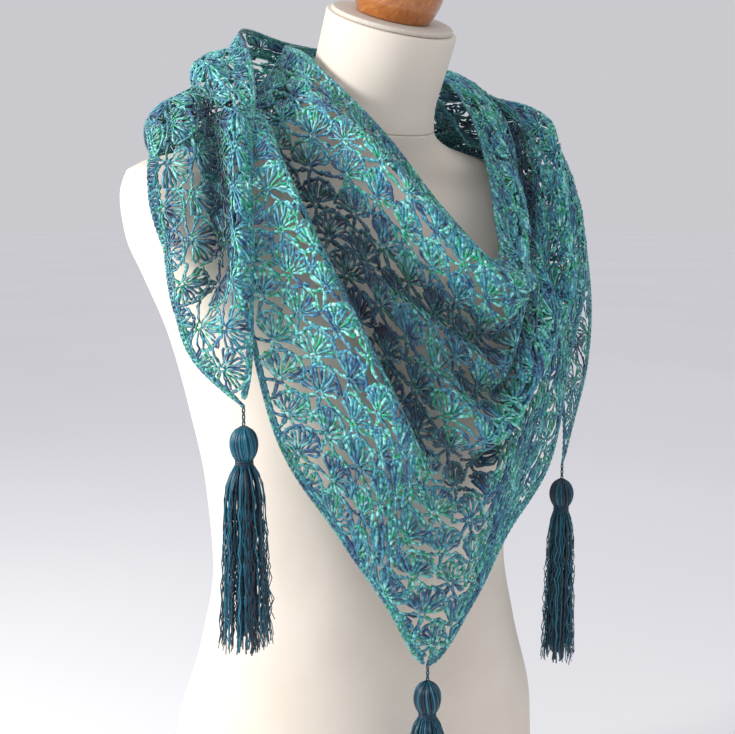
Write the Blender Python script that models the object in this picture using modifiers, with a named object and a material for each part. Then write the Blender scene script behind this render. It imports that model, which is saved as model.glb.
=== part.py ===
"""A crocheted triangular shawl with three tassels, worn round the neck of a limbless dress form.

The form stands on its flat underside at z = 0 and faces -Y. Metres, +Z up.
The shawl is one flat triangle. Its middle hangs at the front, and its long edge falls as a cowl under the neck.
Its two wings go back over the shoulders, cross behind the neck, and end as tails in front of the other shoulders.
"""

import math

import bmesh
import bpy
import numpy as np

SEAM_GAP = 0.0003  # what two pieces keep between them where they meet

# The dress form. Its rings are level at the waist and lean forward towards the neck.
NECK_SEAM = 0.718  # height of the seam under the neck block, on the form's axis
NECK_TOP = 0.811
FORM_POINTS = 44  # points round a ring
LEAN_START, LEAN_AT_SEAM, LEAN_AT_TOP = 0.60, 0.27, 0.40  # how much a ring rises for each metre back
BUST_HEIGHT, BUST_SIDE, BUST_DEPTH, BUST_SPREAD = 0.510, 0.080, 0.030, 0.052

# One row for each ring: its height, half width, depth to the front and to the back,
# its squareness, where 2 is an ellipse, and how far back its middle lies
FORM_COLUMNS = ("height", "half_width", "front", "back", "square", "middle")
FORM_RINGS = (
    (0.000, 0.152, 0.106, 0.114, 2.2, 0.004),
    (0.012, 0.162, 0.115, 0.123, 2.2, 0.004),
    (0.100, 0.174, 0.125, 0.132, 2.2, 0.004),
    (0.190, 0.170, 0.123, 0.121, 2.2, 0.002),
    (0.270, 0.149, 0.112, 0.099, 2.2, 0.000),
    (0.340, 0.137, 0.105, 0.088, 2.2, 0.000),
    (0.410, 0.141, 0.106, 0.092, 2.2, 0.002),
    (0.480, 0.153, 0.108, 0.100, 2.3, 0.004),
    (0.540, 0.168, 0.104, 0.104, 2.4, 0.006),
    (0.590, 0.189, 0.092, 0.100, 2.5, 0.008),
    (0.622, 0.203, 0.080, 0.090, 2.6, 0.010),
    (0.650, 0.208, 0.068, 0.079, 2.6, 0.010),
    (0.668, 0.203, 0.058, 0.070, 2.5, 0.010),
    (0.684, 0.150, 0.055, 0.066, 2.3, 0.006),
    (0.700, 0.086, 0.054, 0.061, 2.1, 0.000),
    (0.718, 0.059, 0.053, 0.056, 2.0, -0.010),
    (0.745, 0.053, 0.052, 0.053, 2.0, -0.020),
    (0.780, 0.053, 0.052, 0.052, 2.0, -0.034),
    (0.811, 0.053, 0.052, 0.052, 2.0, -0.046),
)
TORSO_LEVELS = (
    0.000, 0.004, 0.012, 0.050, 0.100, 0.150, 0.200, 0.250, 0.300, 0.340, 0.380, 0.420, 0.455, 0.485,
    0.515, 0.545, 0.575, 0.600, 0.622, 0.640, 0.655, 0.664, 0.671, 0.677, 0.684, 0.692, 0.700, 0.709,
)
NECK_LEVELS = (0.724, 0.732, 0.745, 0.762, 0.780, 0.798)
CAP_RADIUS, CAP_THICKNESS, CAP_EDGE = 0.050, 0.004, 0.0012
KNOB_TURNS = 28
# The turned knob, from its crown down: distance from its axis, and height over the cap
KNOB_PROFILE = (
    (0.0000, 0.0600), (0.0125, 0.0585), (0.0238, 0.0535), (0.0322, 0.0450), (0.0362, 0.0335),
    (0.0368, 0.0220), (0.0352, 0.0120), (0.0322, 0.0045), (0.0300, 0.0000), (0.0000, 0.0000),
)

# The shawl as it lies flat: a triangle with its long edge at depth 0
HALF_SPAN = 0.920  # from the middle of the long edge to a wing's tip
DEPTH = 0.550  # from the long edge to the middle corner
WALL = 0.0020
CLEARANCE = 0.009  # the least that the cloth keeps to the form
NET = 40  # rows of the flat net, and columns of it in each wing
SEAM_SLIT = 0.00022  # half the gap between two stretches, along the long edge

# The shawl as it is worn: one row for each section across it. The first column is the place along the
# long edge, from the middle, where minus is the wing that starts over the right shoulder. Then come the
# places in space, as x, y and z, of the long edge, of two points a third and two thirds across, and of
# the lower edge.
SHAWL_SECTIONS = (
    (-0.920, 0.153, -0.096, 0.416, 0.154, -0.096, 0.417, 0.155, -0.095, 0.418, 0.157, -0.094, 0.419),
    (-0.900, 0.153, -0.097, 0.437, 0.159, -0.094, 0.440, 0.167, -0.090, 0.443, 0.174, -0.086, 0.447),
    (-0.860, 0.150, -0.096, 0.480, 0.165, -0.092, 0.488, 0.184, -0.084, 0.494, 0.203, -0.074, 0.500),
    (-0.810, 0.148, -0.090, 0.530, 0.165, -0.088, 0.545, 0.195, -0.072, 0.562, 0.228, -0.050, 0.572),
    (-0.760, 0.145, -0.080, 0.590, 0.165, -0.078, 0.610, 0.200, -0.060, 0.630, 0.233, -0.022, 0.635),
    (-0.710, 0.134, -0.050, 0.650, 0.160, -0.040, 0.668, 0.196, -0.015, 0.682, 0.214, 0.018, 0.672),
    (-0.640, 0.108, -0.012, 0.700, 0.138, 0.004, 0.698, 0.165, 0.034, 0.688, 0.175, 0.070, 0.650),
    (-0.570, 0.086, 0.012, 0.745, 0.108, 0.040, 0.728, 0.115, 0.080, 0.690, 0.100, 0.106, 0.625),
    (-0.500, 0.068, 0.040, 0.768, 0.070, 0.068, 0.740, 0.052, 0.095, 0.690, 0.020, 0.118, 0.605),
    (-0.430, 0.030, 0.060, 0.780, 0.018, 0.080, 0.740, -0.025, 0.098, 0.690, -0.070, 0.110, 0.610),
    (-0.360, -0.015, 0.060, 0.782, -0.045, 0.070, 0.738, -0.095, 0.080, 0.702, -0.132, 0.080, 0.656),
    (-0.300, -0.052, 0.035, 0.778, -0.090, 0.030, 0.735, -0.133, 0.020, 0.708, -0.163, 0.000, 0.684),
    (-0.240, -0.062, -0.015, 0.765, -0.105, -0.045, 0.710, -0.143, -0.070, 0.660, -0.163, -0.073, 0.602),
    (-0.180, -0.052, -0.058, 0.732, -0.090, -0.105, 0.655, -0.122, -0.125, 0.570, -0.142, -0.100, 0.475),
    (-0.120, -0.036, -0.095, 0.695, -0.066, -0.138, 0.605, -0.092, -0.152, 0.510, -0.108, -0.126, 0.405),
    (-0.060, -0.012, -0.128, 0.645, -0.028, -0.162, 0.552, -0.055, -0.168, 0.450, -0.078, -0.148, 0.350),
    (0.000, 0.026, -0.148, 0.603, 0.012, -0.172, 0.508, -0.018, -0.172, 0.405, -0.047, -0.162, 0.298),
    (0.060, 0.062, -0.104, 0.640, 0.048, -0.158, 0.548, 0.024, -0.168, 0.442, -0.004, -0.164, 0.340),
    (0.120, 0.086, -0.062, 0.688, 0.086, -0.128, 0.590, 0.072, -0.148, 0.488, 0.034, -0.158, 0.386),
    (0.180, 0.100, -0.022, 0.728, 0.110, -0.085, 0.643, 0.103, -0.129, 0.540, 0.094, -0.142, 0.434),
    (0.240, 0.104, 0.020, 0.760, 0.136, -0.057, 0.697, 0.134, -0.107, 0.603, 0.133, -0.122, 0.511),
    (0.300, 0.084, 0.061, 0.778, 0.144, -0.013, 0.742, 0.164, -0.080, 0.670, 0.168, -0.103, 0.589),
    (0.360, 0.040, 0.088, 0.784, 0.120, 0.050, 0.758, 0.172, -0.014, 0.728, 0.193, -0.046, 0.668),
    (0.430, -0.015, 0.095, 0.790, 0.063, 0.100, 0.753, 0.146, 0.081, 0.724, 0.216, 0.039, 0.701),
    (0.500, -0.062, 0.080, 0.796, -0.012, 0.110, 0.748, 0.055, 0.128, 0.690, 0.125, 0.122, 0.640),
    (0.570, -0.092, 0.042, 0.786, -0.078, 0.095, 0.748, -0.040, 0.130, 0.690, 0.020, 0.145, 0.620),
    (0.640, -0.106, 0.000, 0.764, -0.125, 0.055, 0.740, -0.120, 0.100, 0.700, -0.080, 0.135, 0.640),
    (0.710, -0.125, -0.042, 0.726, -0.142, 0.005, 0.738, -0.158, 0.043, 0.726, -0.157, 0.084, 0.690),
    (0.760, -0.145, -0.074, 0.680, -0.157, -0.045, 0.704, -0.176, -0.014, 0.716, -0.190, 0.013, 0.703),
    (0.810, -0.158, -0.096, 0.615, -0.169, -0.085, 0.624, -0.185, -0.060, 0.629, -0.197, -0.026, 0.627),
    (0.860, -0.162, -0.102, 0.558, -0.174, -0.093, 0.562, -0.188, -0.074, 0.566, -0.199, -0.050, 0.568),
    (0.900, -0.164, -0.100, 0.519, -0.171, -0.093, 0.521, -0.179, -0.082, 0.523, -0.187, -0.068, 0.525),
    (0.920, -0.166, -0.094, 0.498, -0.167, -0.093, 0.499, -0.168, -0.092, 0.501, -0.169, -0.091, 0.502),
)

# The folds: one row for each. A roll stands out as a soft ridge, or in as a trough where its height is
# minus. A step lifts the cloth on one side of its line, like the lip of a pleat. The line is given on the
# flat shawl, as places along the long edge and down from it.
FOLD_COLUMNS = ("kind", "height", "reach", "line")
FOLDS = (
    ("roll", 0.017, 0.046, ((-0.25, 0.060), (-0.15, 0.080), (-0.07, 0.075), (0.00, 0.050), (0.06, 0.025))),
    ("roll", -0.009, 0.032, ((-0.22, 0.150), (-0.14, 0.165), (-0.07, 0.150), (-0.01, 0.120), (0.04, 0.110))),
    ("step", 0.014, 0.055, ((-0.26, 0.130), (-0.22, 0.200), (-0.16, 0.250), (-0.10, 0.300), (-0.05, 0.345))),
    ("roll", -0.006, 0.030, ((0.16, 0.100), (0.11, 0.160), (0.05, 0.180), (-0.03, 0.200), (-0.08, 0.205))),
    ("roll", 0.009, 0.034, ((0.20, 0.190), (0.13, 0.230), (0.04, 0.230), (-0.03, 0.250), (-0.08, 0.265))),
    ("roll", -0.011, 0.040, ((0.24, 0.230), (0.14, 0.270), (0.07, 0.280), (0.00, 0.295), (-0.05, 0.345))),
    ("roll", -0.011, 0.044, ((0.33, 0.090), (0.26, 0.125), (0.21, 0.150), (0.17, 0.170), (0.13, 0.185))),
    ("roll", 0.007, 0.034, ((0.26, 0.035), (0.20, 0.045), (0.14, 0.060), (0.09, 0.080), (0.05, 0.095))),
    ("roll", 0.010, 0.036, ((0.36, 0.170), (0.30, 0.190), (0.25, 0.240), (0.23, 0.290), (0.20, 0.330))),
    ("roll", 0.010, 0.024, ((0.36, 0.040), (0.46, 0.045), (0.56, 0.045), (0.66, 0.040), (0.74, 0.030))),
    ("roll", -0.008, 0.022, ((0.40, 0.090), (0.48, 0.090), (0.56, 0.085), (0.64, 0.075), (0.72, 0.062))),
    ("roll", 0.009, 0.026, ((0.38, 0.150), (0.46, 0.140), (0.54, 0.135), (0.62, 0.120), (0.70, 0.095))),
    ("roll", -0.008, 0.022, ((0.38, 0.215), (0.44, 0.200), (0.50, 0.185), (0.56, 0.172), (0.62, 0.155))),
    ("roll", 0.006, 0.016, ((0.70, 0.012), (0.76, 0.014), (0.82, 0.012), (0.86, 0.010), (0.89, 0.006))),
    ("roll", -0.008, 0.016, ((0.70, 0.045), (0.75, 0.040), (0.79, 0.034), (0.83, 0.028), (0.87, 0.018))),
    ("roll", -0.006, 0.018, ((-0.66, 0.060), (-0.72, 0.052), (-0.77, 0.045), (-0.82, 0.033), (-0.86, 0.022))),
)
STEP_SOFTNESS = 0.007

# The stretches of the shawl that show, each with the net's columns that it takes, counted from the right tail
STRETCHES = (
    ("shawl_right_tail", 0, 12),
    ("shawl_inner_wrap", 12, 27),
    ("shawl_front", 27, 56),
    ("shawl_outer_wrap", 56, 69),
    ("shawl_left_tail", 69, 80),
)
GAP_EVERY = 3  # one gap for this many columns, in every second row

# A tassel, with its sizes measured down from its own top
TASSEL_RINGS, TASSEL_SIDES = 3, 14
TASSEL_HOLE, TASSEL_SKIRT = 0.0015, 0.0075  # inner and outer radius of the strands at their roots
TASSEL_LONG = 0.138  # from the wrap down to the strands' ends
STRAND_INSET, STRAND_SWELL = 0.00028, 1.7
# Radius and height over the wrap's underside, from the stem down
TASSEL_PROFILE = (
    (0.0016, 0.0440), (0.0018, 0.0315), (0.0055, 0.0298), (0.0092, 0.0240), (0.0100, 0.0170),
    (0.0082, 0.0100), (0.0060, 0.0075), (0.0062, 0.0020), (0.0075, 0.0000),
)
# Each tassel's name, the top of its stem, and how far its ends spread
TASSELS = (
    ("tassel_front", (-0.047, -0.162, 0.2975), 0.019),
    ("tassel_right", (0.153, -0.096, 0.4157), 0.015),
    ("tassel_left", (-0.166, -0.094, 0.4977), 0.021),
)

COLLECTION = "crochet_shawl_on_dress_form"


def smooth_step(x):
    x = np.clip(x, 0.0, 1.0)
    return x * x * (3.0 - 2.0 * x)


def curve_through(xs, ys, x):
    """A smooth curve through a table's points that doesn't swing past them."""
    xs = np.asarray(xs, float)
    ys = np.asarray(ys, float)
    x = np.clip(np.asarray(x, float), xs[0], xs[-1])
    step = np.diff(xs)
    slope = np.diff(ys) / step
    tangent = np.zeros_like(ys)
    for i in range(1, len(xs) - 1):
        if slope[i - 1] * slope[i] > 0:
            before = 2 * step[i] + step[i - 1]
            after = step[i] + 2 * step[i - 1]
            tangent[i] = (before + after) / (before / slope[i - 1] + after / slope[i])
    tangent[0], tangent[-1] = slope[0], slope[-1]
    k = np.clip(np.searchsorted(xs, x, side="right") - 1, 0, len(xs) - 2)
    return hermite(ys[k], ys[k + 1], step[k] * tangent[k], step[k] * tangent[k + 1], (x - xs[k]) / step[k])


def hermite(start, end, start_pull, end_pull, t):
    return (
        (2 * t**3 - 3 * t**2 + 1) * start
        + (t**3 - 2 * t**2 + t) * start_pull
        + (3 * t**2 - 2 * t**3) * end
        + (t**3 - t**2) * end_pull
    )


def form_value(name, level):
    place = FORM_COLUMNS.index(name)
    heights = [row[0] for row in FORM_RINGS]
    return curve_through(heights, [row[place] for row in FORM_RINGS], level)


def lean(z):
    """How much a ring's plane rises for each metre back."""
    to_seam = smooth_step((z - LEAN_START) / (NECK_SEAM - LEAN_START)) * LEAN_AT_SEAM
    above = smooth_step((z - NECK_SEAM) / (NECK_TOP - NECK_SEAM)) * (LEAN_AT_TOP - LEAN_AT_SEAM)
    return to_seam + above


def bust(x, z):
    across = (np.abs(x) - BUST_SIDE) / BUST_SPREAD
    up = (z - BUST_HEIGHT) / BUST_SPREAD
    return BUST_DEPTH * np.exp(-(across**2) - up**2)


def form_ring(level, points=FORM_POINTS):
    """One ring of the form, from its left side round by the back."""
    angle = np.arange(points) * 2 * math.pi / points
    power = 2.0 / form_value("square", level)
    x = form_value("half_width", level) * np.sign(np.cos(angle)) * np.abs(np.cos(angle)) ** power
    reach = np.abs(np.sin(angle)) ** power
    front = form_value("front", level) + bust(x, level)
    y = form_value("middle", level) + reach * np.where(np.sin(angle) > 0, form_value("back", level), -front)
    return np.stack([x, y, level + lean(level) * y], axis=1)


def form_field(place):
    """Under zero inside the form and over zero outside it."""
    x, y, z = place[..., 0], place[..., 1], place[..., 2]
    level = np.clip(z - lean(z) * y, 0.0, NECK_TOP)
    back = y - form_value("middle", level)
    reach = np.where(back > 0, form_value("back", level), form_value("front", level) + bust(x, level))
    n = form_value("square", level)
    share = (np.abs(x) / form_value("half_width", level)) ** n + (np.abs(back) / reach) ** n
    return share ** (1 / n) - 1.0


def push_clear(place, clearance):
    """Moves points outwards until they clear the form."""
    nudge = 0.002
    for _ in range(4):
        slope = [form_field(place + nudge * axis) - form_field(place - nudge * axis) for axis in np.eye(3)]
        slope = np.stack(slope, axis=-1) / (2 * nudge)
        steep = np.maximum(np.linalg.norm(slope, axis=-1), 1e-6)
        short = np.maximum(clearance - form_field(place) / steep, 0.0)
        place = place + slope / steep[..., None] * short[..., None]
    return place


def plain_shawl(along, down):
    """The worn shawl without its folds, at places given on the flat shawl."""
    table = np.array(SHAWL_SECTIONS)
    rows = table[:, 0]
    places = table[:, 1:].reshape(len(rows), 4, 3)
    pulls = np.gradient(places, rows, axis=0)
    along = np.clip(along, rows[0], rows[-1])
    k = np.clip(np.searchsorted(rows, along, side="right") - 1, 0, len(rows) - 2)
    gap = (rows[k + 1] - rows[k])[..., None, None]
    t = (along - rows[k])[..., None, None] / gap
    edge, near, far, low = np.moveaxis(hermite(places[k], places[k + 1], gap * pulls[k], gap * pulls[k + 1], t), -2, 0)
    width = np.maximum(DEPTH * (1 - np.abs(along) / HALF_SPAN), 1e-6)
    u = 3 * np.clip(down / width, 0.0, 1.0)[..., None]
    return (
        edge * (u - 1) * (u - 2) * (u - 3) / -6
        + near * u * (u - 2) * (u - 3) / 2
        + far * u * (u - 1) * (u - 3) / -2
        + low * u * (u - 1) * (u - 2) / 6
    )


def fold_height(along, down):
    """How far all the folds together move the cloth outwards."""
    total = np.zeros(np.shape(along))
    for kind, height, reach, line in FOLDS:
        line = np.array(line)
        knots = np.arange(len(line))
        fine = np.linspace(0, len(line) - 1, 33)
        xs = curve_through(knots, line[:, 0], fine)
        ys = curve_through(knots, line[:, 1], fine)
        best = np.full(np.shape(along), 1e9)
        side = np.zeros(np.shape(along))
        part = np.zeros(np.shape(along))
        for i in range(len(fine) - 1):
            dx, dy = xs[i + 1] - xs[i], ys[i + 1] - ys[i]
            t = np.clip(((along - xs[i]) * dx + (down - ys[i]) * dy) / (dx * dx + dy * dy), 0, 1)
            away = np.hypot(along - xs[i] - t * dx, down - ys[i] - t * dy)
            closer = away < best
            best = np.where(closer, away, best)
            side = np.where(closer, np.sign(dx * (down - ys[i]) - dy * (along - xs[i])), side)
            part = np.where(closer, (i + t) / (len(fine) - 1), part)
        fade = smooth_step(part / 0.25) * smooth_step((1 - part) / 0.25)
        if kind == "roll":
            shape = np.cos(np.clip(best / reach, 0, 1) * math.pi / 2) ** 2
        else:
            shape = np.tanh(side * best / STEP_SOFTNESS) * np.exp(-((best / reach) ** 2))
        total = total + height * fade * shape
    return total


def shawl_place(along, down):
    """Where a place on the flat shawl lies when it is worn, and the cloth's outward direction there."""
    along = np.asarray(along, float)
    down = np.asarray(down, float)
    small = 0.004

    def outward(surface):
        """The direction across a surface, by its change along both ways."""
        width = np.maximum(DEPTH * (1 - np.abs(along) / HALF_SPAN), 1e-6)
        lower = np.clip(down - small, 0, None)
        upper = np.minimum(down + small, width)
        left, right = np.clip(along - small, -HALF_SPAN, HALF_SPAN), np.clip(along + small, -HALF_SPAN, HALF_SPAN)
        share = down / width
        fit = DEPTH * (1 - np.abs(left) / HALF_SPAN), DEPTH * (1 - np.abs(right) / HALF_SPAN)
        run = surface(right, share * fit[1]) - surface(left, share * fit[0])
        fall = surface(along, upper) - surface(along, lower)
        normal = np.cross(fall, run)
        return normal / np.maximum(np.linalg.norm(normal, axis=-1), 1e-9)[..., None]

    def folded(a, d):
        return push_clear(plain_shawl(a, d) + outward_plain * fold_height(a, d)[..., None], CLEARANCE)

    outward_plain = outward(plain_shawl)
    return folded(along, down), outward(folded)


def material(name, colour, roughness, metallic=0.0):
    made = bpy.data.materials.new(name)
    made.use_nodes = True
    shader = made.node_tree.nodes["Principled BSDF"]
    shader.inputs["Base Color"].default_value = (*colour, 1.0)
    shader.inputs["Roughness"].default_value = roughness
    shader.inputs["Metallic"].default_value = metallic
    return made


def add_object(name, mesh, finish, collection, smooth=True):
    mesh.materials.clear()
    mesh.materials.append(finish)
    if smooth:
        mesh.shade_smooth()
    made = bpy.data.objects.new(name, mesh)
    collection.objects.link(made)
    return made


def mesh_from(bm, name):
    bmesh.ops.recalc_face_normals(bm, faces=bm.faces)
    mesh = bpy.data.meshes.new(name)
    bm.to_mesh(mesh)
    bm.free()
    return mesh


def loft(rings, name):
    """A closed solid through rings of points, with a flat face at each end."""
    bm = bmesh.new()
    rows = [[bm.verts.new(point) for point in ring] for ring in rings]
    for low, high in zip(rows, rows[1:]):
        for i in range(len(low)):
            after = (i + 1) % len(low)
            bm.faces.new((low[i], low[after], high[after], high[i]))
    bm.faces.new(rows[0][::-1])
    bm.faces.new(rows[-1])
    return mesh_from(bm, name)


def build_form(collection):
    cloth = material("cream_cover", (0.83, 0.78, 0.71), 0.75)
    wood = material("varnished_wood", (0.55, 0.25, 0.08), 0.25)
    half_gap = SEAM_GAP / 2
    torso = [form_ring(level) for level in TORSO_LEVELS + (NECK_SEAM - half_gap,)]
    add_object("form_torso", loft(torso, "form_torso"), cloth, collection)
    levels = (NECK_SEAM + half_gap,) + NECK_LEVELS + (NECK_TOP,)
    add_object("form_neck", loft([form_ring(level) for level in levels], "form_neck"), cloth, collection)

    # The cap and the knob stand square on the neck's leaning top
    middle = float(form_value("middle", NECK_TOP))
    top = NECK_TOP + float(lean(NECK_TOP)) * middle
    tilt = math.atan(float(lean(NECK_TOP)))
    up = np.array([0.0, -math.sin(tilt), math.cos(tilt)])
    seat = np.array([0.0, middle, top])
    cap_low = seat + up * SEAM_GAP
    bpy.ops.mesh.primitive_cylinder_add(
        vertices=FORM_POINTS, radius=CAP_RADIUS, depth=CAP_THICKNESS,
        location=cap_low + up * CAP_THICKNESS / 2, rotation=(tilt, 0, 0),
    )
    cap = bpy.context.object
    for owner in list(cap.users_collection):
        owner.objects.unlink(cap)
    collection.objects.link(cap)
    cap.name = "form_neck_cap"
    cap.data.materials.append(cloth)
    bevel = cap.modifiers.new("rounded_edge", "BEVEL")
    bevel.width = CAP_EDGE
    bevel.segments = 2
    bevel.limit_method = "ANGLE"

    # The knob is a turned profile
    profile = bmesh.new()
    points = [profile.verts.new((radius, 0, height)) for radius, height in KNOB_PROFILE]
    for above, below in zip(points, points[1:]):
        profile.edges.new((above, below))
    mesh = bpy.data.meshes.new("form_knob")
    profile.to_mesh(mesh)
    profile.free()
    knob = add_object("form_knob", mesh, wood, collection, smooth=False)
    knob.location = cap_low + up * (CAP_THICKNESS + SEAM_GAP)
    knob.rotation_euler = (tilt, 0, 0)
    turn = knob.modifiers.new("turned", "SCREW")
    turn.steps = turn.render_steps = KNOB_TURNS
    turn.use_merge_vertices = True
    turn.merge_threshold = 0.00005
    turn.use_smooth_shade = True


def is_gap(column, row):
    """Whether a cell of the net is one of the lace's gaps. The column counts outwards from the middle."""
    inside = column >= 1 and 1 <= row and column + row < NET - 2
    return inside and row % 2 == 1 and (column + (row // 2) * 2) % GAP_EVERY == 0


def build_stretch(name, first, last, finish, collection):
    """One stretch of the shawl: the net's cells between two columns, as a wall with the gaps cut through."""
    pitch = HALF_SPAN / NET
    depth_pitch = DEPTH / NET
    corners = {}
    for column in range(first, last + 1):
        wing = abs(column - NET)
        for row in range(NET - wing + 1):
            corners[column, row] = ((column - NET) * pitch, row * depth_pitch)
    keys = list(corners)
    flat = np.array([corners[key] for key in keys])
    ends = {first: SEAM_SLIT if first > 0 else 0.0, last: -SEAM_SLIT if last < 2 * NET else 0.0}
    shift = np.array([ends.get(key[0], 0.0) for key in keys])
    # A corner on the lower edge stays on it as its column moves
    slide = np.where(np.array([key[1] + abs(key[0] - NET) == NET for key in keys]),
                     -np.sign(flat[:, 0]) * shift * DEPTH / HALF_SPAN, 0.0)
    middle, outward = shawl_place(flat[:, 0] + shift, flat[:, 1] + slide)
    spot = dict(zip(keys, middle))

    cells = []
    for column in range(first, last):
        near = min(abs(column - NET), abs(column + 1 - NET))
        inner, outer = (column, column + 1) if column >= NET else (column + 1, column)
        for row in range(NET - near):
            cell = [(inner, row), (inner, row + 1), (outer, row + 1), (outer, row)]
            if (outer, row + 1) not in corners:
                cell.pop(2)
            at_seam = column in (first, last - 1) and 0 < column < 2 * NET - 1
            if len(cell) == 4 and not at_seam and is_gap(near, row):
                continue
            cell = cell if column < NET else cell[::-1]
            if len(cell) == 3:
                cells.append(cell)
                continue
            # Both skins are split along the shorter diagonal, so they stay a wall apart
            across = np.linalg.norm(spot[cell[0]] - spot[cell[2]])
            if across > np.linalg.norm(spot[cell[1]] - spot[cell[3]]):
                cell = cell[1:] + cell[:1]
            cells.append([cell[0], cell[1], cell[2]])
            cells.append([cell[0], cell[2], cell[3]])

    bm = bmesh.new()
    front = {key: bm.verts.new(middle[i] + outward[i] * WALL / 2) for i, key in enumerate(keys)}
    back = {key: bm.verts.new(middle[i] - outward[i] * WALL / 2) for i, key in enumerate(keys)}
    edges = {}
    for cell in cells:
        bm.faces.new([front[key] for key in cell])
        bm.faces.new([back[key] for key in cell[::-1]])
        edges.update(dict.fromkeys(zip(cell, cell[1:] + cell[:1])))
    for start, end in edges:
        if (end, start) in edges:
            continue
        # The rims of two stretches that meet are split along the same diagonal
        if start < end:
            bm.faces.new((front[end], front[start], back[end]))
            bm.faces.new((front[start], back[start], back[end]))
        else:
            bm.faces.new((front[end], front[start], back[start]))
            bm.faces.new((front[end], back[start], back[end]))
    loose = [vertex for vertex in bm.verts if not vertex.link_faces]
    bmesh.ops.delete(bm, geom=loose, context="VERTS")
    add_object(name, mesh_from(bm, name), finish, collection)


def build_tassel(name, top, spread, finish, collection):
    """A wrapped head with a stem, and strands drawn out of its underside."""
    bm = bmesh.new()
    stem = TASSEL_PROFILE[0][1]
    rings = []
    for radius, height in TASSEL_PROFILE:
        angles = [2 * math.pi * i / TASSEL_SIDES for i in range(TASSEL_SIDES)]
        rings.append([bm.verts.new((radius * math.cos(a), radius * math.sin(a), height)) for a in angles])
    for above, below in zip(rings, rings[1:]):
        for i in range(TASSEL_SIDES):
            after = (i + 1) % TASSEL_SIDES
            bm.faces.new((above[i], below[i], below[after], above[after]))
    bm.faces.new(rings[0])

    # The underside is a disc of cells, and each cell is the root of one strand
    roots = []
    outer = rings[-1]
    for ring in range(1, TASSEL_RINGS + 1):
        radius = TASSEL_SKIRT + (TASSEL_HOLE - TASSEL_SKIRT) * ring / TASSEL_RINGS
        angles = [2 * math.pi * i / TASSEL_SIDES for i in range(TASSEL_SIDES)]
        inner = [bm.verts.new((radius * math.cos(a), radius * math.sin(a), 0.0)) for a in angles]
        for i in range(TASSEL_SIDES):
            after = (i + 1) % TASSEL_SIDES
            roots.append(bm.faces.new((outer[i], inner[i], inner[after], outer[after])))
        outer = inner
    bm.faces.new(outer[::-1])
    bm.normal_update()
    bmesh.ops.recalc_face_normals(bm, faces=bm.faces)
    bmesh.ops.inset_individual(bm, faces=roots, thickness=STRAND_INSET, use_even_offset=True)
    strands = bmesh.ops.extrude_discrete_faces(bm, faces=roots)["faces"]
    for i, face in enumerate(strands):
        middle = face.calc_center_median()
        drop = TASSEL_LONG * (1 - 0.05 * (0.5 + 0.5 * math.sin(i * 2.4)))
        target = middle * (spread / TASSEL_SKIRT)
        for vertex in face.verts:
            offset = (vertex.co - middle) * STRAND_SWELL
            vertex.co = target + offset
            vertex.co.z = -drop
    for vertex in bm.verts:
        vertex.co.x += top[0]
        vertex.co.y += top[1]
        vertex.co.z += top[2] - stem
    add_object(name, mesh_from(bm, name), finish, collection, smooth=False)


def main():
    for old in list(bpy.data.objects):
        bpy.data.objects.remove(old, do_unlink=True)
    collection = bpy.data.collections.new(COLLECTION)
    bpy.context.scene.collection.children.link(collection)
    build_form(collection)
    lace = material("teal_lace", (0.10, 0.36, 0.36), 0.55)
    for name, first, last in STRETCHES:
        build_stretch(name, first, last, lace, collection)
    dark = material("dark_teal_yarn", (0.01, 0.10, 0.14), 0.5)
    for name, top, spread in TASSELS:
        build_tassel(name, top, spread, dark, collection)


main()
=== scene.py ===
"""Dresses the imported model: a lace crochet shawl with three tassels on a limbless dress form.

The form is rebuilt finer from the same rings, and the shawl's wall is replaced by its yarn. Each row of fans
is laid out in true millimetres on the worn cloth, then turned into thin tubes.
"""

import math

import bmesh
import bpy
import numpy as np
from mathutils import Matrix, Vector


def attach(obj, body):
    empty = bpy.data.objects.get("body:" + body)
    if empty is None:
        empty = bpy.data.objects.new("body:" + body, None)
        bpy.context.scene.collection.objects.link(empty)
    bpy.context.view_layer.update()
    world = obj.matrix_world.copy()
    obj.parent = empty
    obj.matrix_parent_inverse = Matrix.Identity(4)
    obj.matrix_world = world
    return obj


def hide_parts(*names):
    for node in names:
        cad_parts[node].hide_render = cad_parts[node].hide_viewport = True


# The camera
CAMERA_AIM = (0.0, 0.0, 0.505)
CAMERA_AZIMUTH, CAMERA_ELEVATION, CAMERA_DISTANCE = -34.0, 8.0, 1.0
CAMERA_FOCAL_PX, FRAME_PX = 1140.0, 735.0
CAMERA_CENTRE_PX = 360.0

# The fine form
FINE_POINTS = 176
FINE_STEP = 0.006
SEAM_ROUND = 0.0011

# The yarn's layout, in metres on the worn cloth
ROW_PITCH, FAN_REPEAT = 0.0252, 0.0330
FAN_SCALE = 1.14
TOP_BORDER, LOW_BORDER = 0.0034, 0.0074
FIRST_ROW = 0.0222  # the depth of the first row's bases, so that its rims meet the top border
YARN_RADIUS, YARN_SIDES, YARN_FLAT = 0.00102, 4, 0.6
FOLD_GAIN = 1.6  # yarn folds a little deeper than the solids' plain wall
GRID_ALONG, GRID_ACROSS, GRID_STEP = 553, 121, 0.0020

# Each piece of lace: its name, the CAD node that it stands for, and its stretch along the long edge
LACE_PIECES = (
    ("lace_right_tail", "shawl_right_tail", -0.920, -0.644, 0.95),
    ("lace_inner_wrap", "shawl_inner_wrap", -0.644, -0.299, 1.0),
    ("lace_front_near", "shawl_front", -0.299, -0.100, 1.06),
    ("lace_front_middle", "shawl_front", -0.100, 0.120, 1.15),
    ("lace_front_far", "shawl_front", 0.120, 0.368, 1.13),
    ("lace_outer_wrap", "shawl_outer_wrap", 0.368, 0.667, 1.1),
    ("lace_left_tail", "shawl_left_tail", 0.667, 0.920, 0.95),
)

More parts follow.
